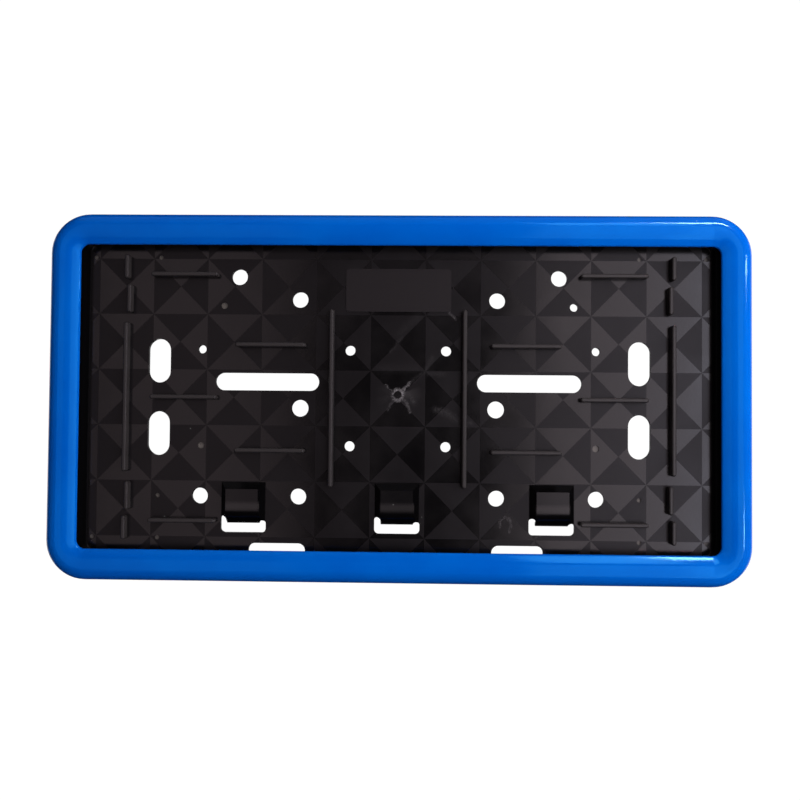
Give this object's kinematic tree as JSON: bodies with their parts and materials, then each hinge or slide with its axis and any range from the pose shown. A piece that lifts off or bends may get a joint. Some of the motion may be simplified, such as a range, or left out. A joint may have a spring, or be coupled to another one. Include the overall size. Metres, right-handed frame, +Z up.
{
  "type": "number plate holder",
  "caption": "Rectangular car number plate holder: a black moulded backplate with screw holes, slots, ribs and raised tabs, under a glossy blue clip-on frame.",
  "frame": {"origin": "middle of the back face, which lies against the car", "axes": "X along the width, Z up the height, -Y out of the front, as it hangs on the car"},
  "size_m": [0.3152, 0.013, 0.1652],
  "materials": {
    "black_plastic": "moulded, with alternate satin and matt triangles",
    "blue_plastic": "glossy"
  },
  "bodies": {
    "root": {"backplate": "black_plastic", "frame": "blue_plastic"}
  },
  "joints": []
}
